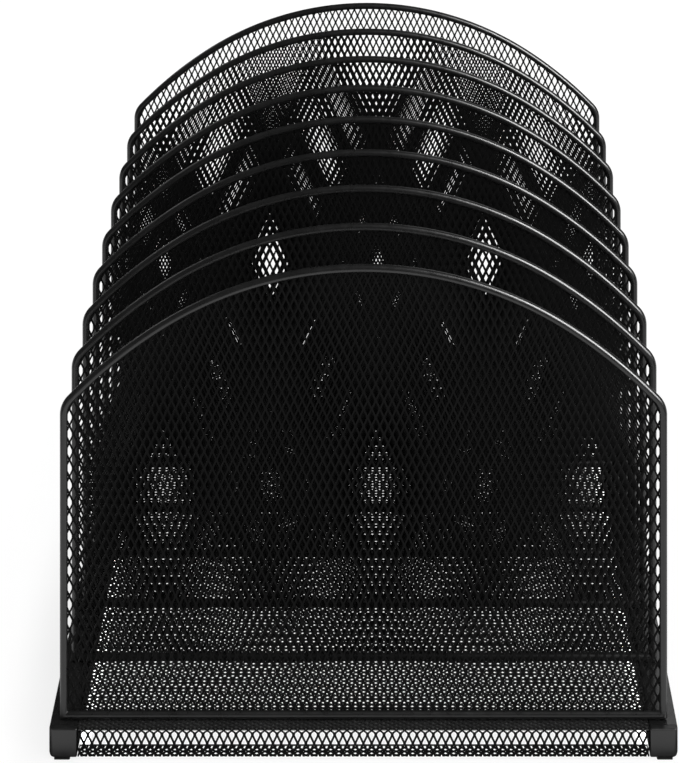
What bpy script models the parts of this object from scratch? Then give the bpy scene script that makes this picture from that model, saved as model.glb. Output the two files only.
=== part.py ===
"""Desktop file sorter: nine domed wire dividers filled with mesh, standing on two rails over a mesh floor.

X is the width, Y the depth with the front at -Y, and Z runs up from the table top. Lengths are metres.
"""

import math

import bmesh
import bpy
from mathutils import Vector

# Slots and dividers
SLOTS = 8
SLOT_PITCH = 0.0435
DIVIDER_COUNT = SLOTS + 1

# Divider frame: one loop of round wire, measured over its outside, with nearly square lower corners
WIRE_DIAMETER = 0.0037
FRAME_WIDTH = 0.2853
FRAME_HEIGHT = 0.2134
CREST_RADIUS = 0.182
CREST_HALF_ANGLE = math.radians(32.6)
FLANK_RADIUS = 0.233
SHOULDER_RADIUS = 0.0122
LOWER_CORNER_RADIUS = 0.001
LEAST_CORNER_RADIUS = 0.0002

# Sheet metal mesh, taken as a plain sheet of its own thickness
MESH_THICKNESS = 0.0008

# Base
BASE_WIDTH = 0.2938
FACE_TO_FIRST_FRAME = 0.0074
RAIL_WIDTH = 0.0131
RAIL_BOTTOM = 0.0012
RAIL_TOP = 0.0145
RAIL_WALL = 0.001
RAIL_LARGE_ROUND = 0.0022
RAIL_SMALL_ROUND = 0.0007
BORE_ROUND = 0.0003
CAP_LENGTH = 0.003
PLUG_LENGTH = 0.008
PLUG_CLEARANCE = 0.0005
PAD_WIDTH = 0.0074
PAD_LENGTH = 0.014
PAD_THICKNESS = 0.0009
PAD_OUTER_INSET = 0.0024
PAD_END_INSET = 0.0004
PAD_CORNER = 0.0006

# Skirt and return flange at the floor's front and back edges, flush with the caps and the rails' undersides
SKIRT_BEND_RADIUS = 0.0007
FLANGE_DEPTH = 0.0085

# Flat steel strip under the floor's front and back edges
STRIP_DEPTH = 0.0084
STRIP_THICKNESS = 0.001
STRIP_INSET = 0.0021

# Clearance left between pieces that touch
GAP = 0.0003

# Derived sizes
BASE_DEPTH = SLOTS * SLOT_PITCH + 2 * FACE_TO_FIRST_FRAME
FRAME_BOTTOM = RAIL_TOP + GAP
FLOOR_WIDTH = BASE_WIDTH - 2 * RAIL_WIDTH - 2 * GAP

# Facets around the wire and along the rounded stretches
WIRE_SIDES = 8
CREST_STEPS = 5
FLANK_STEPS = 2
SHOULDER_STEPS = 3
CORNER_STEPS = 2
BEND_STEPS = 3
LARGE_ROUND_STEPS = 3
SMALL_ROUND_STEPS = 1

SIDES = {"left": -1, "right": 1}
ENDS = {"front": -1, "rear": 1}


def clear_scene():
    for item in list(bpy.data.objects):
        bpy.data.objects.remove(item)


def new_material(name, colour, roughness, metallic):
    material = bpy.data.materials.new(name)
    material.use_nodes = True
    shader = material.node_tree.nodes["Principled BSDF"]
    shader.inputs["Base Color"].default_value = (*colour, 1.0)
    shader.inputs["Roughness"].default_value = roughness
    shader.inputs["Metallic"].default_value = metallic
    return material


def add_object(collection, name, data, material, location=(0, 0, 0)):
    item = bpy.data.objects.new(name, data)
    item.location = location
    if not data.materials:
        data.materials.append(material)
    collection.objects.link(item)
    return item


def arc(centre, radius, start, end, steps):
    """Points of an arc in the frame's own plane, with angles measured from straight up towards +X."""
    angles = [start + (end - start) * i / steps for i in range(steps + 1)]
    return [
        (centre[0] + radius * math.sin(a), centre[1] + radius * math.cos(a)) for a in angles
    ]


def divider_outline(inset):
    """The divider's closed outline as (x, z), moved inwards by inset, with z from the frame's bottom."""
    half = FRAME_WIDTH / 2
    # The flank arc ends where the shoulder bend, tangent to it, turns into the straight side.
    sine = (half - SHOULDER_RADIUS - (CREST_RADIUS - FLANK_RADIUS) * math.sin(CREST_HALF_ANGLE)) / (
        FLANK_RADIUS - SHOULDER_RADIUS
    )
    flank_end = math.asin(sine)
    crest = Vector((0, FRAME_HEIGHT - CREST_RADIUS))
    towards_flank = Vector((math.sin(CREST_HALF_ANGLE), math.cos(CREST_HALF_ANGLE)))
    flank = crest + (CREST_RADIUS - FLANK_RADIUS) * towards_flank
    towards_shoulder = Vector((math.sin(flank_end), math.cos(flank_end)))
    shoulder = flank + (FLANK_RADIUS - SHOULDER_RADIUS) * towards_shoulder
    corner_radius = max(LOWER_CORNER_RADIUS - inset, LEAST_CORNER_RADIUS)
    corner = (half - inset - corner_radius, inset + corner_radius)

    right = arc(crest, CREST_RADIUS - inset, 0, CREST_HALF_ANGLE, CREST_STEPS)
    right += arc(flank, FLANK_RADIUS - inset, CREST_HALF_ANGLE, flank_end, FLANK_STEPS)[1:]
    right += arc(shoulder, SHOULDER_RADIUS - inset, flank_end, math.pi / 2, SHOULDER_STEPS)[1:]
    right += arc(corner, corner_radius, math.pi / 2, math.pi, CORNER_STEPS)
    left = [(-x, z) for x, z in reversed(right[1:])]
    return right + left


def outline_curve(name, *outlines):
    """A flat, filled curve in its own XY plane; an outline inside another one is a hole."""
    curve = bpy.data.curves.new(name, "CURVE")
    curve.dimensions = "2D"
    curve.fill_mode = "BOTH"
    for outline in outlines:
        spline = curve.splines.new("POLY")
        spline.points.add(len(outline) - 1)
        for point, (x, z) in zip(spline.points, outline):
            point.co = (x, z, 0, 1)
        spline.use_cyclic_u = True
    return curve


def frame_mesh():
    """Round wire: each line along the loop is the outline, moved inwards and across the wire."""
    radius = WIRE_DIAMETER / 2
    loop = bmesh.new()
    lines = []
    for i in range(WIRE_SIDES):
        turn = 2 * math.pi * i / WIRE_SIDES
        outline = divider_outline(radius * (1 - math.cos(turn)))
        lines.append([loop.verts.new((x, z, radius * math.sin(turn))) for x, z in outline])
    for i, line in enumerate(lines):
        following = lines[(i + 1) % WIRE_SIDES]
        for j in range(len(line)):
            k = (j + 1) % len(line)
            loop.faces.new((line[j], line[k], following[k], following[j]))
    bmesh.ops.recalc_face_normals(loop, faces=loop.faces)
    mesh = bpy.data.meshes.new("divider_wire")
    loop.to_mesh(mesh)
    loop.free()
    return mesh


def panel_curve():
    curve = outline_curve("divider_sheet", divider_outline(WIRE_DIAMETER + GAP))
    curve.extrude = MESH_THICKNESS / 2
    return curve


def add_dividers(collection, wire, mesh):
    frame_data = frame_mesh()
    panel_data = panel_curve()
    for index in range(DIVIDER_COUNT):
        depth = (index - SLOTS / 2) * SLOT_PITCH
        place = (0, depth, FRAME_BOTTOM)
        frame = add_object(collection, f"divider_frame_{index + 1}", frame_data, wire, place)
        panel = add_object(collection, f"divider_mesh_{index + 1}", panel_data, mesh, place)
        for item in (frame, panel):
            item.rotation_euler.x = math.pi / 2


def floor_profile():
    """The rear half of the floor sheet's middle line as (y, z), from the centre to the flange's free edge."""
    half_sheet = MESH_THICKNESS / 2
    skirt = BASE_DEPTH / 2 - half_sheet
    floor = RAIL_TOP - half_sheet
    flange = RAIL_BOTTOM + half_sheet
    bend_y = skirt - SKIRT_BEND_RADIUS
    points = [(0, floor)]
    points += arc((bend_y, floor - SKIRT_BEND_RADIUS), SKIRT_BEND_RADIUS, 0, math.pi / 2, BEND_STEPS)
    points += arc(
        (bend_y, flange + SKIRT_BEND_RADIUS), SKIRT_BEND_RADIUS, math.pi / 2, math.pi, BEND_STEPS
    )
    points.append((skirt + half_sheet - FLANGE_DEPTH, flange))
    return points


def add_floor(collection, material):
    """One sheet: the floor, a down-turned skirt at front and rear, and a flange turned in below each."""
    rear = floor_profile()
    front = [(-y, z) for y, z in reversed(rear[1:])]
    profile = front + rear
    sheet = bmesh.new()
    rows = [
        [sheet.verts.new((side * FLOOR_WIDTH / 2, y, z)) for y, z in profile] for side in (-1, 1)
    ]
    for i in range(len(profile) - 1):
        sheet.faces.new((rows[0][i], rows[1][i], rows[1][i + 1], rows[0][i + 1]))
    mesh = bpy.data.meshes.new("mesh_floor")
    sheet.to_mesh(mesh)
    sheet.free()
    floor = add_object(collection, "mesh_floor", mesh, material)
    thicken = floor.modifiers.new("sheet thickness", "SOLIDIFY")
    thicken.thickness = MESH_THICKNESS
    thicken.offset = 0
    thicken.use_even_offset = True


def add_edge_strip(collection, name, material, end):
    """A flat strip across the base, close under the floor sheet's edge."""
    solid = bmesh.new()
    bmesh.ops.create_cube(solid, size=1)
    size = (FLOOR_WIDTH, STRIP_DEPTH, STRIP_THICKNESS)
    bmesh.ops.scale(solid, vec=size, verts=solid.verts)
    mesh = bpy.data.meshes.new(name)
    solid.to_mesh(mesh)
    solid.free()
    place = (
        0,
        end * (BASE_DEPTH / 2 - STRIP_INSET - STRIP_DEPTH / 2),
        RAIL_TOP - MESH_THICKNESS - GAP - STRIP_THICKNESS / 2,
    )
    add_object(collection, name, mesh, material, place)


def rounded_rectangle(low, high, large_round, small_round):
    """A rectangle in the rail's cross-section; its lower corner at the outer side takes the large round."""
    corners = (
        (high[0], low[1], large_round, math.pi / 2, LARGE_ROUND_STEPS),
        (low[0], low[1], small_round, math.pi, SMALL_ROUND_STEPS),
        (low[0], high[1], small_round, 3 * math.pi / 2, SMALL_ROUND_STEPS),
        (high[0], high[1], small_round, 2 * math.pi, SMALL_ROUND_STEPS),
    )
    points = []
    for x, z, radius, start, steps in corners:
        centre = (
            x - radius if x == high[0] else x + radius,
            z - radius if z == high[1] else z + radius,
        )
        points += arc(centre, radius, start, start + math.pi / 2, steps)
    return points


def add_rail(collection, name, material, side):
    """A rectangular steel tube, open at both ends: its cross-section with the bore as an inner outline."""
    outer_low = (BASE_WIDTH / 2 - RAIL_WIDTH, RAIL_BOTTOM)
    outer_high = (BASE_WIDTH / 2, RAIL_TOP)
    bore_low = [value + RAIL_WALL for value in outer_low]
    bore_high = [value - RAIL_WALL for value in outer_high]
    outer = rounded_rectangle(outer_low, outer_high, RAIL_LARGE_ROUND, RAIL_SMALL_ROUND)
    bore = rounded_rectangle(bore_low, bore_high, RAIL_LARGE_ROUND - RAIL_WALL, BORE_ROUND)
    section = outline_curve(
        name, [(side * x, z) for x, z in outer], [(side * x, z) for x, z in bore]
    )
    section.extrude = BASE_DEPTH / 2 - CAP_LENGTH - GAP
    rail = add_object(collection, name, section, material)
    rail.rotation_euler.x = math.pi / 2


def cap_head():
    """The cap's head as a block at the right front corner, with its face at Y = 0."""
    solid = bmesh.new()
    bmesh.ops.create_cube(solid, size=1)
    height = RAIL_TOP - RAIL_BOTTOM
    bmesh.ops.scale(solid, vec=(RAIL_WIDTH, CAP_LENGTH, height), verts=solid.verts)
    centre = (BASE_WIDTH / 2 - RAIL_WIDTH / 2, CAP_LENGTH / 2, RAIL_BOTTOM + height / 2)
    bmesh.ops.translate(solid, vec=centre, verts=solid.verts)
    return solid


def weigh_head_edges(solid):
    """Bevel weights: full on the outer upright and outer lower edges, small on the head's others."""
    weights = solid.edges.layers.float.new("bevel_weight_edge")
    for edge in solid.edges:
        ends = [corner.co for corner in edge.verts]
        middle = (ends[0] + ends[1]) / 2
        if middle.y > CAP_LENGTH - GAP:
            continue
        outer = middle.x > BASE_WIDTH / 2 - GAP
        runs_back = abs(ends[0].y - ends[1].y) > CAP_LENGTH / 2
        runs_across = abs(ends[0].x - ends[1].x) > CAP_LENGTH / 2
        lower = middle.z < RAIL_BOTTOM + GAP
        large = outer and not runs_across and (lower or not runs_back)
        edge[weights] = 1 if large else RAIL_SMALL_ROUND / RAIL_LARGE_ROUND


def add_end_cap(collection, name, material, side, end):
    """A moulded cap: its head closes the rail's end, and its plug sits inside the tube."""
    solid = cap_head()
    weigh_head_edges(solid)
    back = [face for face in solid.faces if face.normal.y > 0.5]
    inset = RAIL_WALL + PLUG_CLEARANCE
    bmesh.ops.inset_region(solid, faces=back, thickness=inset, use_even_offset=True)
    grown = bmesh.ops.extrude_face_region(solid, geom=back)
    bmesh.ops.delete(solid, geom=back, context="FACES_ONLY")
    tip = [part for part in grown["geom"] if isinstance(part, bmesh.types.BMVert)]
    bmesh.ops.translate(solid, vec=(0, PLUG_LENGTH, 0), verts=tip)
    if side * end > 0:
        bmesh.ops.reverse_faces(solid, faces=solid.faces)
    bmesh.ops.scale(solid, vec=(side, -end, 1), verts=solid.verts)
    mesh = bpy.data.meshes.new(name)
    solid.to_mesh(mesh)
    solid.free()
    cap = add_object(collection, name, mesh, material, (0, end * BASE_DEPTH / 2, 0))
    rounding = cap.modifiers.new("rounded edges", "BEVEL")
    rounding.limit_method = "WEIGHT"
    rounding.width = RAIL_LARGE_ROUND
    rounding.segments = 3


def add_pad(collection, name, material, side, end):
    """A flat rubber pad under the rail's end, with its upright edges eased."""
    solid = bmesh.new()
    bmesh.ops.create_cube(solid, size=1)
    bmesh.ops.scale(solid, vec=(PAD_WIDTH, PAD_LENGTH, PAD_THICKNESS), verts=solid.verts)
    upright = [e for e in solid.edges if abs(e.verts[0].co.z - e.verts[1].co.z) > PAD_THICKNESS / 2]
    bmesh.ops.bevel(solid, geom=upright, offset=PAD_CORNER, segments=2, profile=0.5, affect="EDGES")
    mesh = bpy.data.meshes.new(name)
    solid.to_mesh(mesh)
    solid.free()
    place = (
        side * (BASE_WIDTH / 2 - PAD_OUTER_INSET - PAD_WIDTH / 2),
        end * (BASE_DEPTH / 2 - PAD_END_INSET - PAD_LENGTH / 2),
        PAD_THICKNESS / 2,
    )
    add_object(collection, name, mesh, material, place)


def build():
    clear_scene()
    collection = bpy.data.collections.new("desktop_file_sorter")
    bpy.context.scene.collection.children.link(collection)

    wire = new_material("powder_coated_wire", (0.018, 0.018, 0.019), 0.38, 0.0)
    divider_mesh = new_material("powder_coated_divider_mesh", (0.012, 0.012, 0.012), 0.5, 0.0)
    floor_mesh = new_material("powder_coated_floor_mesh", (0.012, 0.012, 0.012), 0.5, 0.0)
    rail = new_material("powder_coated_rail", (0.018, 0.018, 0.019), 0.32, 0.0)
    cap = new_material("moulded_cap", (0.024, 0.024, 0.025), 0.45, 0.0)
    pad = new_material("rubber_pad", (0.01, 0.01, 0.01), 0.8, 0.0)

    add_dividers(collection, wire, divider_mesh)
    add_floor(collection, floor_mesh)
    for end_name, end in ENDS.items():
        add_edge_strip(collection, f"edge_strip_{end_name}", rail, end)
    for side_name, side in SIDES.items():
        add_rail(collection, f"side_rail_{side_name}", rail, side)
        for end_name, end in ENDS.items():
            add_end_cap(collection, f"end_cap_{end_name}_{side_name}", cap, side, end)
            add_pad(collection, f"foot_pad_{end_name}_{side_name}", pad, side, end)


build()
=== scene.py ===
"""Looks of the desktop file sorter: wire-framed dividers of expanded steel mesh on two capped rails.

X is the width, Y the depth with the front at -Y, and Z runs up from the table top. Lengths are metres.
"""

import math

import bmesh
import bpy
import numpy as np
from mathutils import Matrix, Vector


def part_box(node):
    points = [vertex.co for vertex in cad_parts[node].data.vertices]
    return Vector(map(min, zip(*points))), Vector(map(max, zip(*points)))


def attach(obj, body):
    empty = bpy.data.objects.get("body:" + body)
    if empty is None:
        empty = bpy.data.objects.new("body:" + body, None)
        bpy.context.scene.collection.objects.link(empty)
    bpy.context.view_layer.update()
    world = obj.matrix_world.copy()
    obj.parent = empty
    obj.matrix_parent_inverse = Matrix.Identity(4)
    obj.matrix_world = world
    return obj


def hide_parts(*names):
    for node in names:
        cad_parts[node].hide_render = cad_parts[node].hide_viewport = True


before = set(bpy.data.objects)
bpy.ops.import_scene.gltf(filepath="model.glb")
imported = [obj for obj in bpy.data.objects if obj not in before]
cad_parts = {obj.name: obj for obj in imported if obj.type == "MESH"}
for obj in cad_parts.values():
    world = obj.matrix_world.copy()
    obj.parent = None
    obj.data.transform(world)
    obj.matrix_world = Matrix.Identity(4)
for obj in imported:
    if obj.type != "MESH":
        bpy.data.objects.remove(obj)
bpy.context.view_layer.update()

# Divider frame: arcs of the loop's outer outline
CREST_RADIUS = 0.182
CREST_HALF_ANGLE = math.radians(32.6)
FLANK_RADIUS = 0.233
SHOULDER_RADIUS = 0.0122
LOWER_CORNER_RADIUS = 0.001
LEAST_CORNER_RADIUS = 0.0002
FINE_STEPS = {"crest": 24, "flank": 10, "shoulder": 8, "corner": 8}
COARSE_STEPS = {"crest": 8, "flank": 3, "shoulder": 4, "corner": 1}
WIRE_SIDES = 20
WIRE_SMOOTH_ANGLE = math.radians(60)
DIVIDERS = range(1, 10)

# Expanded mesh: the panels and skirts have long diamonds, the floor and its flanges short ones
DIAMOND_WIDTH = 0.00384
LONG_DIAMOND = 0.008
SHORT_DIAMOND = 0.002692
LONG_STRAND_WIDTH = 0.0008
SHORT_STRAND_WIDTH = 0.00051
KNUCKLE_HALF_WIDTH = 0.00067
STRAND_THICKNESS = 0.0006
PANEL_PHASE = 0.0013
FLOOR_PHASE = 0.00135
FLANGE_PHASE = 0.0001
SKIRT_JOINT_HEIGHT = 0.00755
PRESSED_HEIGHT = 0.0126
WELD_DISTANCE = 1e-6

# Floor sheet: bends at the top and bottom of the skirts
CAD_SHEET = 0.0008
UPPER_BEND = 0.0006
LOWER_BEND = 0.0004
BEND_STEPS = 4
FLANGE_DEPTH = 0.0085
SELVAGE = 0.0013
STRIP_ROUND = 0.0002
STRIP_ROUND_STEPS = 2
FLOOR_SPLITS = (3, 5, 7)

# Rails, caps and pads
RAIL_WALL = 0.001
LARGE_ROUND = 0.0022
SMALL_ROUND = 0.0007
ROUND_STEPS = 6
PLUG_CLEARANCE = 0.0005
CAP_TO_RAIL_GAP = 0.0003
PAD_ROUND = 0.0006
PAD_ROUND_STEPS = 4
BASE_SMOOTH_ANGLE = math.radians(30)
SIDES = {"left": -1, "right": 1}
ENDS = {"front": -1, "rear": 1}

# Coatings: grey level, roughness, specular level, grain per metre, grain height, wear along edges
COATINGS = {
    "black_coated_wire": (0.009, 0.3, 0.5, 1500, 0.00002, 0.5),
    "black_coated_mesh": (0.0035, 0.6, 0.06, 2500, 0.00002, 0.0),
    # The floor's grey level is raised as painted light: the same black coat as the skirt, paler for its
    # upward faces that catch the light.
    "black_coat_floor_with_painted_light": (0.018, 0.5, 0.2, 2500, 0.00002, 0.0),
    "black_coated_skirt": (0.003, 0.6, 0.08, 2500, 0.00002, 0.0),
    # The strip's pale grey is painted light: it lies in shade under the floor's edge, and its paleness stands
    # in for the light seen on it through the holes.
    "strip_coat_with_painted_light": (0.11, 0.4, 0.5, 1500, 0.00002, 0.5),
    "black_coated_rail": (0.009, 0.25, 0.5, 1500, 0.00002, 0.5),
    "black_moulded_cap": (0.010, 0.35, 0.5, 1800, 0.00001, 0.3),
    "black_rubber_pad": (0.008, 0.7, 0.3, 1200, 0.00004, 0.0),
}
MOTTLE_SCALE = 60
MOTTLE_SHARE = 0.2
GLOSS_SCALE = 240
GLOSS_RANGE = 0.04
WORN_POINTINESS = (0.56, 0.7)
WORN_BRIGHTNESS = 2.5
NOISE_MIDDLE = (0.3, 0.7)

# Camera, level and shifted down
CAMERA_PLACE = (0.0067, -1.311, 0.7515)
CAMERA_LENS = 114.2
CAMERA_SHIFT = (-0.0502, -1.614)
CAMERA_CLIP = (0.05, 50)
CAMERA_TOLERANCE = 0.001

# Ground: its tones and own glow, and a painted shade on it beside the left rail, where the glow is lowered
GROUND_HALF_SIZE = 8
GROUND_TONES = (0.15, 0.16)
GROUND_MOTTLE_SCALE = 3
GROUND_GLOW = 0.86
PAINTED_SHADE_CENTRE = (-0.15, -0.09)
PAINTED_SHADE_REACH = (0.03, 0.2)
PAINTED_SHADE_DEPTH = 0.12

# Stretches of bright ground that only reflections see: low corner, high corner, strength
REFLECTIONS = {
    "front_reflection": ((-0.4, -0.75), (0.4, -0.19), 1.0),
    "left_reflection": ((-1.2, -0.19), (-0.17, 1.0), 1.0),
    "right_reflection": ((0.17, -0.19), (1.2, 1.0), 1.0),
}
REFLECTION_HEIGHT = -0.001

# Painted light: glowing strips that only the camera sees, on the ground under the floor's outermost holes,
# stand for light that comes through beside the rails
PAINTED_SPILL_STRENGTH = 2.2
PAINTED_SPILL_SPAN = (0.129, 0.1337)
PAINTED_SPILL_REACH = 0.172
PAINTED_SPILL_HEIGHT = 0.0004

# Softboxes: direction from their target, distance, width, height, radiance, and whether only sheen shows them
SOFTBOXES = {
    "key_sheen": ((0.68, -0.5, 0.53), 1.6, 0.6, 1.2, 30, True),
    "back_sheen": ((0.35, 0.75, 0.5), 2.0, 1.0, 0.8, 1.0, True),
    "left_sheen": ((-0.69, 0.48, 0.55), 1.6, 0.5, 0.5, 2.2, True),
    "key_soft": ((0.62, -0.52, 0.58), 1.6, 1.2, 1.2, 1.0, False),
}
SOFTBOX_TARGET = (0, 0, 0.1)
STUDIO_LIGHT = 1.2
STUDIO_BACKDROP = 1.0

ROOT = "root"
UV_NAME = "OFBake"


# ---------------------------------------------------------------- shapes


def arc(centre, radius, start, end, steps):
    """Points of an arc, with angles measured from straight up towards +X."""
    angles = [start + (end - start) * i / steps for i in range(steps + 1)]
    return [(centre[0] + radius * math.sin(a), centre[1] + radius * math.cos(a)) for a in angles]


def divider_outline(width, height, inset, steps):
    """The divider's closed outline as (x, z), moved inwards by inset, with z from the frame's bottom."""
    half = width / 2
    sine = (half - SHOULDER_RADIUS - (CREST_RADIUS - FLANK_RADIUS) * math.sin(CREST_HALF_ANGLE)) / (
        FLANK_RADIUS - SHOULDER_RADIUS
    )
    flank_end = math.asin(sine)
    crest = Vector((0, height - CREST_RADIUS))
    towards_flank = Vector((math.sin(CREST_HALF_ANGLE), math.cos(CREST_HALF_ANGLE)))
    flank = crest + (CREST_RADIUS - FLANK_RADIUS) * towards_flank
    towards_shoulder = Vector((math.sin(flank_end), math.cos(flank_end)))
    shoulder = flank + (FLANK_RADIUS - SHOULDER_RADIUS) * towards_shoulder
    corner_radius = max(LOWER_CORNER_RADIUS - inset, LEAST_CORNER_RADIUS)
    corner = (half - inset - corner_radius, inset + corner_radius)

    right = arc(crest, CREST_RADIUS - inset, 0, CREST_HALF_ANGLE, steps["crest"])
    right += arc(flank, FLANK_RADIUS - inset, CREST_HALF_ANGLE, flank_end, steps["flank"])[1:]
    right += arc(shoulder, SHOULDER_RADIUS - inset, flank_end, math.pi / 2, steps["shoulder"])[1:]
    right += arc(corner, corner_radius, math.pi / 2, math.pi, steps["corner"])
    left = [(-x, z) for x, z in reversed(right[1:])]
    return right + left


def wire_loop(width, height, radius):
    """Round wire bent into the divider's closed outline and joined end to end."""
    loop = bmesh.new()
    rings = []
    for i in range(WIRE_SIDES):
        turn = 2 * math.pi * i / WIRE_SIDES
        inset = radius * (1 - math.cos(turn))
        line = divider_outline(width, height, inset, FINE_STEPS)
        rings.append([loop.verts.new((x, radius * math.sin(turn), z)) for x, z in line])
    for i, ring in enumerate(rings):
        following = rings[(i + 1) % WIRE_SIDES]
        for j in range(len(ring)):
            k = (j + 1) % len(ring)
            loop.faces.new((ring[j], ring[k], following[k], following[j]))
    return loop


def lattice(half_width, low, high, phase, pitch, strand_width):
    """A flat sheet of expanded mesh in XY: a knuckle and two strands for each joint of the lattice."""
    across, along = DIAMOND_WIDTH / 2, pitch / 2
    strand = math.hypot(across, along)
    half_height = strand_width / 2 * strand / across
    hole_half = (across - strand_width / 2 * strand / along, along - half_height)
    side_half = hole_half[1] * (1 - (across - KNUCKLE_HALF_WIDTH) / hole_half[0])
    w, e, c = KNUCKLE_HALF_WIDTH, half_height, side_half
    knuckle = ((0, -e), (w, -c), (w, c), (0, e), (-w, c), (-w, -c))
    right_strand = ((0, -e), (across - w, c - along), (across, e - along), (w, -c))
    left_strand = [(-x, y) for x, y in reversed(right_strand)]

    sheet = bmesh.new()
    columns = math.ceil(half_width / across) + 1
    first, last = math.floor((low - phase) / pitch) - 1, math.ceil((high - phase) / pitch) + 1
    for n in range(-columns, columns + 1):
        for k in range(first, last + 1):
            x = n * across
            y = phase + (k + (n % 2) / 2) * pitch
            for outline in (knuckle, right_strand, left_strand):
                sheet.faces.new([sheet.verts.new((x + dx, y + dy, 0)) for dx, dy in outline])
    bmesh.ops.remove_doubles(sheet, verts=sheet.verts, dist=WELD_DISTANCE)
    return sheet


def cut(sheet, point, normal, remove):
    """Cuts the flat sheet along a line, and takes away the side its normal points to if remove is true."""
    bmesh.ops.bisect_plane(
        sheet,
        geom=sheet.verts[:] + sheet.edges[:] + sheet.faces[:],
        dist=WELD_DISTANCE,
        plane_co=(*point, 0),
        plane_no=(*normal, 0),
        clear_outer=remove,
    )


def trim(sheet, outline):
    """Keeps what lies inside a convex outline that runs clockwise."""
    for a, b in zip(outline, outline[1:] + outline[:1]):
        cut(sheet, a, (a[1] - b[1], b[0] - a[0]), True)


def trim_band(sheet, half_width, low, high):
    """Keeps what lies from low to high along Y and within half_width of the middle."""
    trim(sheet, [(-half_width, high), (half_width, high), (half_width, low), (-half_width, low)])


def thicken(sheet, thickness):
    """A closed solid with half the thickness to either side of the flat sheet."""
    bmesh.ops.solidify(sheet, geom=sheet.faces[:], thickness=thickness)
    heights = [v.co.z for v in sheet.verts]
    middle = (min(heights) + max(heights)) / 2
    bmesh.ops.translate(sheet, vec=(0, 0, -middle), verts=sheet.verts)


def lattice_mesh(name, sheet, place):
    """The flat solid as a mesh with a planar UV map, its vertices then moved by place(x, y, height)."""
    mesh = bpy.data.meshes.new(name)
    sheet.to_mesh(mesh)
    sheet.free()
    points = np.zeros(len(mesh.vertices) * 3, np.float32)
    mesh.vertices.foreach_get("co", points)
    points = points.reshape(-1, 3)
    corners = np.zeros(len(mesh.loops), np.int32)
    mesh.loops.foreach_get("vertex_index", corners)
    flat = points[:, :2] + points[:, 2:] * np.array((1.0, 0.3), np.float32)
    flat = (flat - flat.min(0)) / (flat.max(0) - flat.min(0)).max()
    mesh.uv_layers.new(name=UV_NAME).data.foreach_set("uv", flat[corners].ravel())
    moved = np.stack(place(*points.T), axis=1).astype(np.float32)
    mesh.vertices.foreach_set("co", moved.ravel())
    mesh.update()
    return mesh


def upright(x, y, height):
    return x, -height, y


def panel_mesh(width, height, radius):
    outline = divider_outline(width, height, radius, COARSE_STEPS)
    sheet = lattice(width / 2, 0, height, PANEL_PHASE, LONG_DIAMOND, LONG_STRAND_WIDTH)
    trim(sheet, outline)
    thicken(sheet, STRAND_THICKNESS)
    return lattice_mesh("divider_mesh", sheet, upright)


def floor_mesh(half_width, low, high, height):
    """A stretch of the flat floor from low to high along Y, at a given height."""
    sheet = lattice(half_width, low, high, FLOOR_PHASE, SHORT_DIAMOND, SHORT_STRAND_WIDTH)
    trim_band(sheet, half_width, low, high)
    thicken(sheet, STRAND_THICKNESS)
    return lattice_mesh("floor_mesh", sheet, lambda x, y, up: (x, y, height + up))


class SkirtProfile:
    """The skirt's middle line, from the floor's end over the upper bend to the lower bend's end.

    The flat lattice has long diamonds all over. The part of it above the pressed height is squeezed along the
    line, so that the floor's short diamonds go on round the bend.
    """

    def __init__(self, low, high, end):
        self.end = end
        self.face = high.y - CAD_SHEET / 2
        self.floor = high.z - CAD_SHEET / 2
        self.flange = low.z + CAD_SHEET / 2
        self.upper_quarter = UPPER_BEND * math.pi / 2
        self.lower_quarter = LOWER_BEND * math.pi / 2
        table = self.upper_quarter + self.floor - UPPER_BEND
        self.lower_start = table - self.flange - LOWER_BEND
        self.length = self.lower_start + self.lower_quarter
        self.pressed = table - PRESSED_HEIGHT
        self.ratio = LONG_DIAMOND / SHORT_DIAMOND
        self.joint = self.pressed * self.ratio + PRESSED_HEIGHT - SKIRT_JOINT_HEIGHT

    def flat(self, distance):
        """Where the point at distance along the line lies in the flat lattice."""
        return min(distance, self.pressed) * self.ratio + max(distance - self.pressed, 0)

    def fold_lines(self):
        upper = np.linspace(0, self.upper_quarter, BEND_STEPS + 1)[1:]
        lower = np.linspace(self.lower_start, self.length, BEND_STEPS + 1)[:-1]
        return [self.flat(distance) for distance in (*upper, self.pressed, *lower)]

    def place(self, x, y, height):
        """Flat points (x, signed distance y, height over the sheet) to the bent sheet."""
        flat = np.abs(y)
        pressed = self.pressed * self.ratio
        distance = np.minimum(flat, pressed) / self.ratio + np.maximum(flat - pressed, 0)
        upper = np.clip(distance / UPPER_BEND, 0, math.pi / 2)
        lower = np.clip((distance - self.lower_start) / LOWER_BEND, 0, math.pi / 2)
        drop = np.clip(distance, self.upper_quarter, self.lower_start) - self.upper_quarter
        out = self.face - UPPER_BEND * (1 - np.sin(upper)) - LOWER_BEND * (1 - np.cos(lower))
        z = self.floor - UPPER_BEND * (1 - np.cos(upper)) - drop - LOWER_BEND * np.sin(lower)
        turn = upper + lower
        return x, self.end * (out + height * np.sin(turn)), z + height * np.cos(turn)


def skirt_mesh(half_width, profile):
    end = profile.end
    low, high = sorted((0, end * profile.flat(profile.length)))
    sheet = lattice(half_width, low, high, end * profile.joint, LONG_DIAMOND, LONG_STRAND_WIDTH)
    trim_band(sheet, half_width, low, high)
    for line in profile.fold_lines():
        cut(sheet, (0, end * line), (0, 1), False)
    thicken(sheet, STRAND_THICKNESS)
    return lattice_mesh("skirt_mesh", sheet, profile.place)


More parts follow.
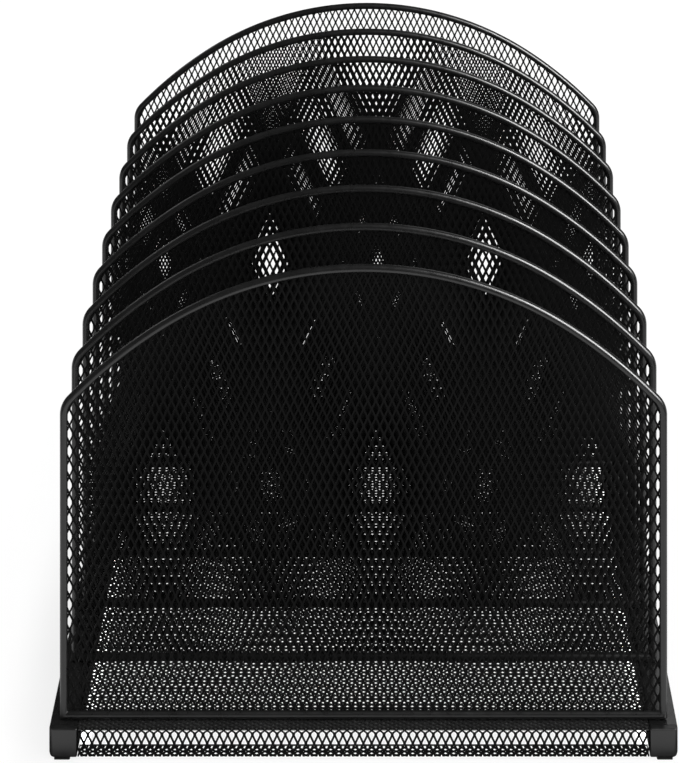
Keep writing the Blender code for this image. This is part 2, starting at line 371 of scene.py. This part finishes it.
def flange_mesh(half_width, profile):
    """The flange turned in below the skirt, with a solid strip along its free edge."""
    end = profile.end
    free = profile.face + CAD_SHEET / 2 - FLANGE_DEPTH
    low, high = sorted((end * (free + SELVAGE), end * (profile.face - LOWER_BEND)))
    sheet = lattice(half_width, low, high, -end * FLANGE_PHASE, SHORT_DIAMOND, SHORT_STRAND_WIDTH)
    trim_band(sheet, half_width, low, high)
    low, high = sorted((end * free, end * (free + SELVAGE)))
    corners = ((-half_width, low), (half_width, low), (half_width, high), (-half_width, high))
    sheet.faces.new([sheet.verts.new((x, y, 0)) for x, y in corners])
    thicken(sheet, STRAND_THICKNESS)
    return lattice_mesh("flange_mesh", sheet, lambda x, y, up: (x, y, profile.flange + up))


def rounded_rectangle(low, high, large_round, small_round):
    """A rail's cross-section as (x, z); its lower corner at the +X side takes the large round."""
    corners = (
        (high[0], low[1], large_round, math.pi / 2),
        (low[0], low[1], small_round, math.pi),
        (low[0], high[1], small_round, 3 * math.pi / 2),
        (high[0], high[1], small_round, 2 * math.pi),
    )
    points = []
    for x, z, radius, start in corners:
        centre = (
            x - radius if x == high[0] else x + radius,
            z - radius if z == high[1] else z + radius,
        )
        points += arc(centre, radius, start, start + math.pi / 2, ROUND_STEPS)
    return points


def rail_solid(low, high, side):
    """A rectangular tube, open at both ends, for the side of the base where X has the sign side."""
    inner, outer = sorted((abs(low.x), abs(high.x)))
    bore_low = (inner + RAIL_WALL, low.z + RAIL_WALL)
    bore_high = (outer - RAIL_WALL, high.z - RAIL_WALL)
    sections = (
        rounded_rectangle((inner, low.z), (outer, high.z), LARGE_ROUND, SMALL_ROUND),
        rounded_rectangle(bore_low, bore_high, LARGE_ROUND - RAIL_WALL, SMALL_ROUND / 2),
    )
    solid = bmesh.new()
    rings = [
        [[solid.verts.new((side * x, y, z)) for x, z in section] for y in (low.y, high.y)]
        for section in sections
    ]
    count = len(sections[0])
    for i in range(count):
        j = (i + 1) % count
        for front, rear in rings:
            solid.faces.new((front[i], front[j], rear[j], rear[i]))
        for end in (0, 1):
            solid.faces.new((rings[0][end][i], rings[0][end][j], rings[1][end][j], rings[1][end][i]))
    return solid


def block(low, high):
    solid = bmesh.new()
    bmesh.ops.create_cube(solid, size=1)
    bmesh.ops.scale(solid, vec=high - low, verts=solid.verts)
    bmesh.ops.translate(solid, vec=(low + high) / 2, verts=solid.verts)
    return solid


def edge_span(edge):
    """The edge's middle, and the axis it runs along."""
    a, b = (v.co for v in edge.verts)
    run = [abs(value) for value in b - a]
    return (a + b) / 2, run.index(max(run))


def cap_solid(low, high, side, end, head_depth, plug_inset):
    """A moulded cap: a rounded head that closes the rail's end, with a plug inside the tube."""
    face_y = low.y if end < 0 else high.y
    seat_y = face_y - end * head_depth
    head_low = Vector((low.x, min(face_y, seat_y), low.z))
    head_high = Vector((high.x, max(face_y, seat_y), high.z))
    solid = block(head_low, head_high)
    outer_x = high.x if side > 0 else low.x
    near = head_depth / 4
    widths = solid.edges.layers.float.new("bevel_weight_edge")
    for edge in solid.edges:
        middle, axis = edge_span(edge)
        if abs(middle.y - seat_y) < near:
            continue
        outer = abs(middle.x - outer_x) < near
        lower = abs(middle.z - low.z) < near
        large = outer and (axis == 2 or (axis == 1 and lower))
        edge[widths] = 1 if large else SMALL_ROUND / LARGE_ROUND
    back = [face for face in solid.faces if face.normal.y * end < -0.5]
    bmesh.ops.inset_region(solid, faces=back, thickness=plug_inset, use_even_offset=True)
    grown = bmesh.ops.extrude_face_region(solid, geom=back)
    bmesh.ops.delete(solid, geom=back, context="FACES_ONLY")
    tip = [part for part in grown["geom"] if isinstance(part, bmesh.types.BMVert)]
    plug_y = high.y if end < 0 else low.y
    bmesh.ops.translate(solid, vec=(0, plug_y - seat_y, 0), verts=tip)
    return solid


def pad_solid(low, high):
    solid = block(low, high)
    upright_edges = [edge for edge in solid.edges if edge_span(edge)[1] == 2]
    bmesh.ops.bevel(
        solid,
        geom=upright_edges,
        offset=PAD_ROUND,
        segments=PAD_ROUND_STEPS,
        profile=0.5,
        affect="EDGES",
    )
    return solid


# ---------------------------------------------------------------- materials


class Shader:
    """Short helpers over one material's node tree."""

    def __init__(self, name):
        self.material = bpy.data.materials.new(name)
        self.material.use_nodes = True
        self.tree = self.material.node_tree
        self.surface = self.tree.nodes["Principled BSDF"]
        self.place = self.node("ShaderNodeTexCoord").outputs["Object"]

    def node(self, kind, **settings):
        made = self.tree.nodes.new(kind)
        for key, value in settings.items():
            setattr(made, key, value)
        return made

    def link(self, source, target):
        self.tree.links.new(source, target)

    def noise(self, scale, detail=2.0):
        made = self.node("ShaderNodeTexNoise")
        made.inputs["Scale"].default_value = scale
        made.inputs["Detail"].default_value = detail
        self.link(self.place, made.inputs["Vector"])
        return made.outputs["Fac"]

    def spread(self, source, low, high):
        """A noise's middle range mapped onto low to high."""
        made = self.node("ShaderNodeMapRange")
        made.inputs["From Min"].default_value = NOISE_MIDDLE[0]
        made.inputs["From Max"].default_value = NOISE_MIDDLE[1]
        made.inputs["To Min"].default_value = low
        made.inputs["To Max"].default_value = high
        self.link(source, made.inputs["Value"])
        return made.outputs["Result"]

    def mix(self, factor, first, second):
        made = self.node("ShaderNodeMix", data_type="RGBA")
        self.link(factor, made.inputs["Factor"])
        for socket, colour in (("A", first), ("B", second)):
            target = next(i for i in made.inputs if i.name == socket and i.type == "RGBA")
            if isinstance(colour, tuple):
                target.default_value = (*colour, 1.0)
            else:
                self.link(colour, target)
        return next(o for o in made.outputs if o.type == "RGBA")

    def bump(self, source, strength, distance):
        made = self.node("ShaderNodeBump")
        made.inputs["Strength"].default_value = strength
        made.inputs["Distance"].default_value = distance
        self.link(source, made.inputs["Height"])
        self.link(made.outputs["Normal"], self.surface.inputs["Normal"])


def coated(name):
    """A finish mottled in colour and gloss, with a fine grain, and paler where edges have rubbed."""
    level, roughness, specular, grain, grain_height, wear = COATINGS[name]
    shader = Shader(name)
    mottle = shader.spread(shader.noise(MOTTLE_SCALE, 3.0), 0, 1)
    dark = (level * (1 - MOTTLE_SHARE),) * 3
    light = (level * (1 + MOTTLE_SHARE),) * 3
    base = shader.mix(mottle, dark, light)
    rubbed = shader.node("ShaderNodeMapRange")
    rubbed.inputs["From Min"].default_value = WORN_POINTINESS[0]
    rubbed.inputs["From Max"].default_value = WORN_POINTINESS[1]
    rubbed.inputs["To Max"].default_value = wear
    pointiness = shader.node("ShaderNodeNewGeometry").outputs["Pointiness"]
    shader.link(pointiness, rubbed.inputs["Value"])
    base = shader.mix(rubbed.outputs["Result"], base, (level * WORN_BRIGHTNESS,) * 3)
    shader.link(base, shader.surface.inputs["Base Color"])
    gloss = shader.spread(shader.noise(GLOSS_SCALE), roughness - GLOSS_RANGE, roughness + GLOSS_RANGE)
    shader.link(gloss, shader.surface.inputs["Roughness"])
    shader.surface.inputs["Specular IOR Level"].default_value = specular
    shader.bump(shader.noise(grain), 1.0, grain_height)
    return shader.material


# ---------------------------------------------------------------- pieces


def finish_mesh(name, solid, smooth_angle=None):
    bmesh.ops.recalc_face_normals(solid, faces=solid.faces[:])
    mesh = bpy.data.meshes.new(name)
    solid.to_mesh(mesh)
    solid.free()
    if smooth_angle is not None:
        mesh.shade_smooth()
        mesh.set_sharp_from_angle(angle=smooth_angle)
    return mesh


def add_piece(name, mesh, material, node, place=(0, 0, 0)):
    """A visible piece that stands for one CAD node and rides on the part's only body."""
    piece = bpy.data.objects.new(name, mesh)
    if not mesh.materials:
        mesh.materials.append(material)
    piece.location = place
    bpy.context.scene.collection.objects.link(piece)
    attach(piece, ROOT)
    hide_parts(node)
    return piece


def add_dividers():
    wire = coated("black_coated_wire")
    mesh = coated("black_coated_mesh")
    low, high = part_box("divider_frame_1")
    size = high - low
    radius = size.y / 2
    loop = finish_mesh("divider_wire", wire_loop(size.x, size.z, radius), WIRE_SMOOTH_ANGLE)
    panel = panel_mesh(size.x, size.z, radius)
    for number in DIVIDERS:
        frame_node = f"divider_frame_{number}"
        low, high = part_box(frame_node)
        middle = (low + high) / 2
        place = (middle.x, middle.y, low.z)
        add_piece(f"wire_frame_{number}", loop, wire, frame_node, place)
        mesh_node = f"divider_mesh_{number}"
        add_piece(f"mesh_panel_{number}", panel, mesh, mesh_node, place)


def divider_depth(number):
    low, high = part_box(f"divider_frame_{number}")
    return (low.y + high.y) / 2


def add_floor():
    """The flat floor, in stretches that meet under a divider."""
    # Painted light: the floor's coat is paler than the skirt's, for its lit upward faces.
    coat = coated("black_coat_floor_with_painted_light")
    low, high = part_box("mesh_floor")
    half_width = (high.x - low.x) / 2
    floor_end = high.y - CAD_SHEET / 2 - UPPER_BEND
    edges = [-floor_end, *(divider_depth(number) for number in FLOOR_SPLITS), floor_end]
    height = high.z - CAD_SHEET / 2
    for number, (near, far) in enumerate(zip(edges, edges[1:]), 1):
        stretch = floor_mesh(half_width, near, far, height)
        add_piece(f"floor_stretch_{number}", stretch, coat, "mesh_floor")


def add_skirts():
    """At each end the skirt, the flange turned in below it, and the strip under the floor's edge."""
    coat = coated("black_coated_skirt")
    # Painted light: the strip under the floor's edge gets a pale grey coat.
    strip_painted_light_coat = coated("strip_coat_with_painted_light")
    low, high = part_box("mesh_floor")
    half_width = (high.x - low.x) / 2
    for end_name, end in ENDS.items():
        profile = SkirtProfile(low, high, end)
        skirt = skirt_mesh(half_width, profile)
        add_piece(f"skirt_{end_name}", skirt, coat, "mesh_floor")
        flange = flange_mesh(half_width, profile)
        add_piece(f"flange_{end_name}", flange, coat, "mesh_floor")
        node = f"edge_strip_{end_name}"
        strip = finish_mesh(node, block(*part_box(node)))
        piece = add_piece(f"strip_{end_name}", strip, strip_painted_light_coat, node)
        rounding = piece.modifiers.new("rounded edges", "BEVEL")
        rounding.width = STRIP_ROUND
        rounding.segments = STRIP_ROUND_STEPS


def add_rails():
    coat = coated("black_coated_rail")
    for side_name, side in SIDES.items():
        node = f"side_rail_{side_name}"
        shape = finish_mesh(node, rail_solid(*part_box(node), side), BASE_SMOOTH_ANGLE)
        add_piece(f"rail_{side_name}", shape, coat, node)


def add_caps_and_pads():
    moulded = coated("black_moulded_cap")
    rubber = coated("black_rubber_pad")
    plug_inset = RAIL_WALL + PLUG_CLEARANCE
    for side_name, side in SIDES.items():
        rail_low, rail_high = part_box(f"side_rail_{side_name}")
        for end_name, end in ENDS.items():
            node = f"end_cap_{end_name}_{side_name}"
            low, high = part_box(node)
            to_rail = rail_low.y - low.y if end < 0 else high.y - rail_high.y
            solid = cap_solid(low, high, side, end, to_rail - CAP_TO_RAIL_GAP, plug_inset)
            shape = finish_mesh(node, solid)
            piece = add_piece(f"cap_{end_name}_{side_name}", shape, moulded, node)
            rounding = piece.modifiers.new("rounded edges", "BEVEL")
            rounding.limit_method = "WEIGHT"
            rounding.width = LARGE_ROUND
            rounding.segments = ROUND_STEPS
            rounding.harden_normals = True
            shape.shade_smooth()
            shape.set_sharp_from_angle(angle=BASE_SMOOTH_ANGLE)
            node = f"foot_pad_{end_name}_{side_name}"
            pad = finish_mesh(node, pad_solid(*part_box(node)))
            add_piece(f"pad_{end_name}_{side_name}", pad, rubber, node)


# ---------------------------------------------------------------- stage


def stage_plane(name, low, high, height, material):
    """A level rectangle of the stage, between a low and a high corner."""
    mesh = bpy.data.meshes.new(name)
    corners = ((low[0], low[1]), (high[0], low[1]), (high[0], high[1]), (low[0], high[1]))
    mesh.from_pydata([(x, y, height) for x, y in corners], [], [(0, 1, 2, 3)])
    mesh.materials.append(material)
    plane = bpy.data.objects.new(name, mesh)
    bpy.context.scene.collection.objects.link(plane)
    return plane


def ground_material():
    """Pale and matt, with a glow of its own that fades towards the middle of a painted shade beside the left
    rail.
    """
    shader = Shader("pale_ground")
    darker, lighter = ((tone,) * 3 for tone in GROUND_TONES)
    tone = shader.mix(shader.noise(GROUND_MOTTLE_SCALE), darker, lighter)
    shader.link(tone, shader.surface.inputs["Base Color"])
    shader.surface.inputs["Emission Color"].default_value = (1, 1, 1, 1)
    # Painted shade: the glow is lowered smoothly towards a spot beside the left rail.
    offset = shader.node("ShaderNodeVectorMath", operation="SUBTRACT")
    offset.inputs[1].default_value = (*PAINTED_SHADE_CENTRE, 0)
    shader.link(shader.place, offset.inputs[0])
    scaled = shader.node("ShaderNodeVectorMath", operation="DIVIDE")
    scaled.inputs[1].default_value = (*PAINTED_SHADE_REACH, 1)
    shader.link(offset.outputs["Vector"], scaled.inputs[0])
    away = shader.node("ShaderNodeVectorMath", operation="LENGTH")
    shader.link(scaled.outputs["Vector"], away.inputs[0])
    glow = shader.node("ShaderNodeMapRange", interpolation_type="SMOOTHSTEP")
    glow.inputs["To Min"].default_value = GROUND_GLOW - PAINTED_SHADE_DEPTH
    glow.inputs["To Max"].default_value = GROUND_GLOW
    shader.link(away.outputs["Value"], glow.inputs["Value"])
    shader.link(glow.outputs["Result"], shader.surface.inputs["Emission Strength"])
    shader.surface.inputs["Roughness"].default_value = 1
    shader.surface.inputs["Specular IOR Level"].default_value = 0
    return shader.material


def glow_material(name, strength):
    material = bpy.data.materials.new(name)
    material.use_nodes = True
    surface = material.node_tree.nodes["Principled BSDF"]
    surface.inputs["Base Color"].default_value = (0, 0, 0, 1)
    surface.inputs["Specular IOR Level"].default_value = 0
    surface.inputs["Emission Color"].default_value = (1, 1, 1, 1)
    surface.inputs["Emission Strength"].default_value = strength
    return material


def add_ground():
    low, high = (-GROUND_HALF_SIZE,) * 2, (GROUND_HALF_SIZE,) * 2
    ground = stage_plane("ground", low, high, 0, ground_material())
    ground.visible_glossy = False


def add_reflections():
    for name, (low, high, strength) in REFLECTIONS.items():
        card = stage_plane(name, low, high, REFLECTION_HEIGHT, glow_material(name, strength))
        for kind in ("camera", "diffuse", "shadow", "transmission", "volume_scatter"):
            setattr(card, f"visible_{kind}", False)


def add_painted_spill():
    # Painted light: glowing strips that light nothing, hidden from diffuse and glossy rays and from shadows.
    for side_name, side in SIDES.items():
        name = f"{side_name}_spill"
        near, far = sorted(side * x for x in PAINTED_SPILL_SPAN)
        low, high = (near, -PAINTED_SPILL_REACH), (far, PAINTED_SPILL_REACH)
        strip = stage_plane(name, low, high, PAINTED_SPILL_HEIGHT, glow_material(name, PAINTED_SPILL_STRENGTH))
        for kind in ("diffuse", "glossy", "shadow"):
            setattr(strip, f"visible_{kind}", False)


def add_softboxes():
    """Rectangular area lights that face their target."""
    for name, (direction, distance, width, height, radiance, sheen_only) in SOFTBOXES.items():
        light = bpy.data.lights.new(name, "AREA")
        light.shape = "RECTANGLE"
        light.size = width
        light.size_y = height
        light.energy = radiance * math.pi * width * height
        item = bpy.data.objects.new(name, light)
        towards = Vector(direction).normalized()
        item.location = Vector(SOFTBOX_TARGET) + towards * distance
        item.rotation_mode = "QUATERNION"
        item.rotation_quaternion = towards.to_track_quat("Z", "Y")
        bpy.context.scene.collection.objects.link(item)
        item.visible_camera = False
        item.visible_diffuse = not sheen_only
        item.visible_glossy = sheen_only


def add_studio():
    """Even white light from all round, a little dimmer where the camera sees it as the backdrop."""
    world = bpy.data.worlds.new("studio")
    bpy.context.scene.world = world
    world.use_nodes = True
    tree = world.node_tree
    background = tree.nodes["Background"]
    path = tree.nodes.new("ShaderNodeLightPath")
    level = tree.nodes.new("ShaderNodeMapRange")
    level.inputs["To Min"].default_value = STUDIO_LIGHT
    level.inputs["To Max"].default_value = STUDIO_BACKDROP
    tree.links.new(path.outputs["Is Camera Ray"], level.inputs["Value"])
    tree.links.new(level.outputs["Result"], background.inputs["Strength"])
    background.inputs["Color"].default_value = (1, 1, 1, 1)
    world.cycles_visibility.glossy = False


def add_camera():
    """Level camera whose lens shift holds at its own place only, so that a moved camera looks straight on."""
    data = bpy.data.cameras.new("camera")
    data.lens = CAMERA_LENS
    data.clip_start = CAMERA_CLIP[0]
    data.clip_end = CAMERA_CLIP[1]
    camera = bpy.data.objects.new("camera", data)
    camera.location = CAMERA_PLACE
    camera.rotation_euler = (math.pi / 2, 0, 0)
    bpy.context.scene.collection.objects.link(camera)
    bpy.context.scene.camera = camera
    for path, shift in zip(("shift_x", "shift_y"), CAMERA_SHIFT):
        driver = data.driver_add(path).driver
        driver.type = "SCRIPTED"
        variable = driver.variables.new()
        variable.name = "depth"
        variable.type = "TRANSFORMS"
        variable.targets[0].id = camera
        variable.targets[0].transform_type = "LOC_Y"
        driver.expression = f"{shift} if abs(depth - {CAMERA_PLACE[1]}) < {CAMERA_TOLERANCE} else 0"


def main():
    add_dividers()
    add_floor()
    add_skirts()
    add_rails()
    add_caps_and_pads()
    add_ground()
    add_reflections()
    add_painted_spill()
    add_softboxes()
    add_studio()
    add_camera()
    bpy.context.scene.view_settings.view_transform = "Standard"


main()
